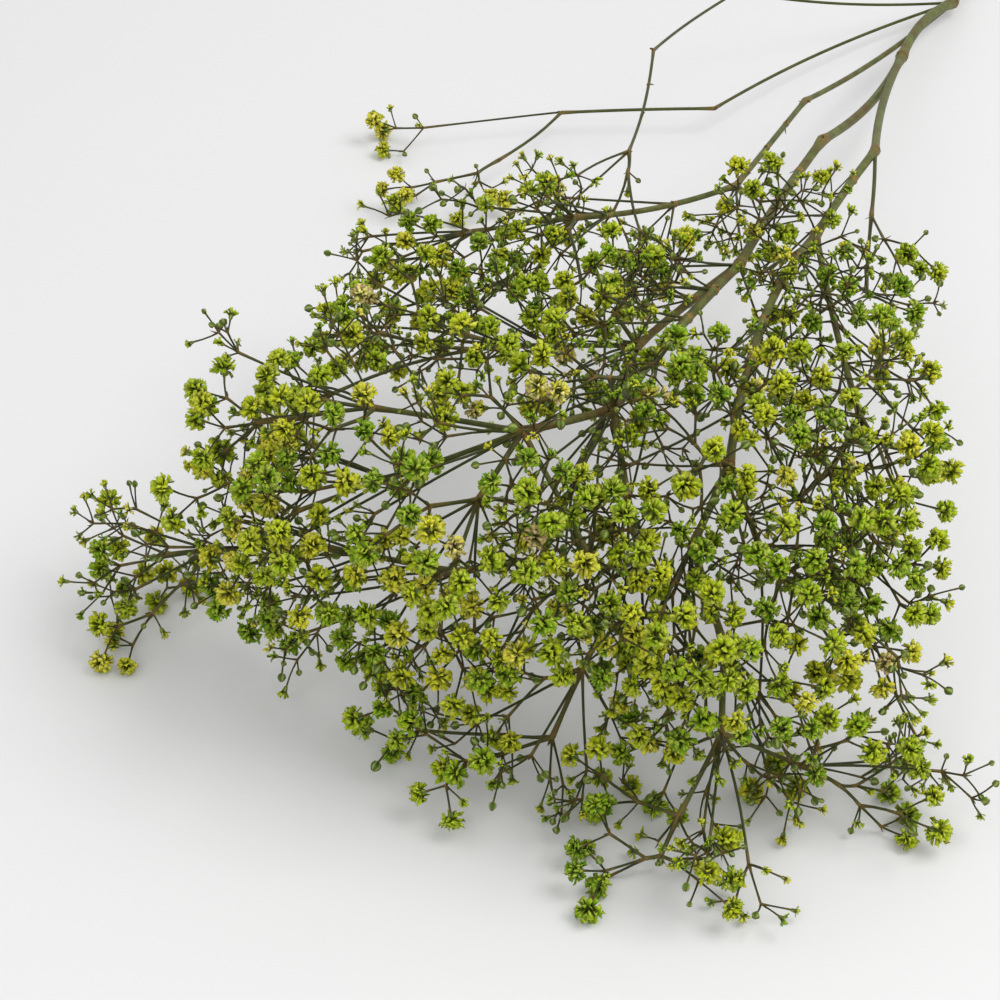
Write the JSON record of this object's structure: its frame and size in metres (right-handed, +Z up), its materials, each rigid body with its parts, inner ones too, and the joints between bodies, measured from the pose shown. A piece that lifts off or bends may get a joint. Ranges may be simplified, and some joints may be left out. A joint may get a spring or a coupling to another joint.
{
  "type": "gypsophila stem",
  "caption": "Cut and dried stem of double baby's breath, dyed lime green, lying on its side with its fan of small ruffled flowers and buds.",
  "frame": {"origin": "the middle of the plant's box, on the surface that it lies on", "axes": "+Z up from the surface, +Y along the stem towards its cut end, -Y towards the flowers"},
  "size_m": [0.2562, 0.5632, 0.1061],
  "materials": {
    "stem": "satin",
    "petal": "matte",
    "bud": "matte"
  },
  "bodies": {
    "root": {"stem": "stem", "spray_01": "petal", "spray_02": "petal", "spray_03": "petal", "spray_04": "petal", "spray_05": "petal", "spray_06": "petal", "spray_07": "petal", "spray_08": "petal", "spray_09": "petal", "spray_10": "petal", "spray_11": "petal", "spray_12": "petal", "spray_13": "petal", "spray_14": "petal", "spray_15": "petal", "spray_16": "petal", "spray_17": "petal", "spray_18": "petal", "spray_19": "petal", "spray_20": "petal", "spray_21": "petal", "spray_22": "petal", "spray_23": "petal", "spray_24": "petal", "spray_25": "petal", "spray_26": "petal", "spray_27": "petal", "spray_28": "petal", "spray_29": "petal", "spray_30": "petal", "spray_31": "petal", "spray_32": "petal", "spray_33": "petal", "spray_34": "petal", "spray_35": "petal", "spray_36": "petal", "spray_37": "petal", "spray_38": "petal", "spray_39": "petal", "spray_40": "petal", "spray_41": "petal", "spray_42": "petal", "spray_43": "petal", "spray_44": "petal", "spray_45": "petal", "spray_46": "petal", "spray_47": "petal", "spray_48": "petal", "spray_49": "petal", "spray_50": "petal", "spray_51": "petal", "spray_52": "petal", "spray_53": "petal", "spray_54": "petal", "spray_55": "petal", "spray_56": "petal", "spray_57": "petal", "spray_58": "petal"}
  },
  "joints": []
}
